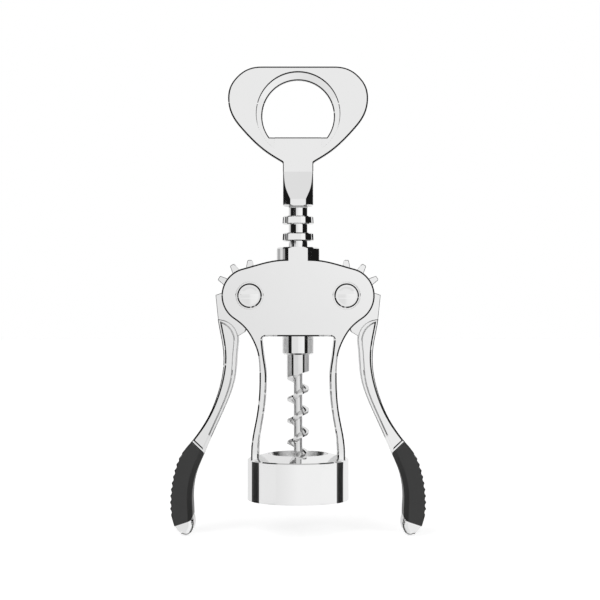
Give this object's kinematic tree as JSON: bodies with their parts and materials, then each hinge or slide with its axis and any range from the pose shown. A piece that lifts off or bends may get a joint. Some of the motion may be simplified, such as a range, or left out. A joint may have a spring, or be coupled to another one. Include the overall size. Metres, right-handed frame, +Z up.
{
  "type": "wing corkscrew",
  "caption": "Wing corkscrew with geared levers, ringed spindle, auger worm, base ring for the bottle neck and a bottle-opener head.",
  "frame": {"origin": "centre of the base ring at its lower rim, where the bottle neck enters", "axes": "+Z up the spindle to the handle, levers at +X and -X, front at -Y"},
  "size_m": [0.1012, 0.0404, 0.1868],
  "materials": {
    "cast_chrome": "mirror-bright plating on the castings",
    "turned_chrome": "mirror-bright plating on the turned parts",
    "worm_steel": "polished steel",
    "shaft_steel": "bright drawn steel",
    "grip_rubber": "soft matt black",
    "guide_nylon": "natural nylon"
  },
  "bodies": {
    "base": {"frame": "cast_chrome", "base_ring": "turned_chrome", "bottle_guide": "guide_nylon", "right_pivot_pin": "turned_chrome", "left_pivot_pin": "turned_chrome", "right_pin_retainer": "turned_chrome", "left_pin_retainer": "turned_chrome"},
    "left_arm": {"left_lever": "cast_chrome", "left_grip": "grip_rubber"},
    "right_arm": {"right_lever": "cast_chrome", "right_grip": "grip_rubber"},
    "rack": {"spindle": "turned_chrome", "upper_thrust_washer": "guide_nylon", "lower_thrust_washer": "guide_nylon"},
    "turning_group": {"handle": "cast_chrome", "drive_shaft": "shaft_steel", "worm_hub": "turned_chrome", "worm": "worm_steel"}
  },
  "joints": [
    {"name": "left_lever_pivot", "type": "hinge", "parent": "base", "child": "left_arm", "pos_m": [-0.0192, 0, 0.0813], "axis": [0, 1, 0], "range_deg": [0, 126]},
    {"name": "right_lever_pivot", "type": "hinge", "parent": "base", "child": "right_arm", "pos_m": [0.0192, 0, 0.0813], "axis": [0, -1, 0], "range_deg": [0, 126]},
    {"name": "spindle_slide", "type": "slide", "parent": "base", "child": "rack", "axis": [0, 0, -1], "range_m": [0, 0.02814]},
    {"name": "handle_turn", "type": "hinge", "parent": "rack", "child": "turning_group", "pos_m": [0, 0, 0.0813], "axis": [0, 0, 1], "continuous": true}
  ],
  "couplings": [
    {"joint": "right_lever_pivot", "follows": "left_lever_pivot", "ratio": 1},
    {"joint": "spindle_slide", "follows": "left_lever_pivot", "m_per_rad": 0.012796}
  ]
}
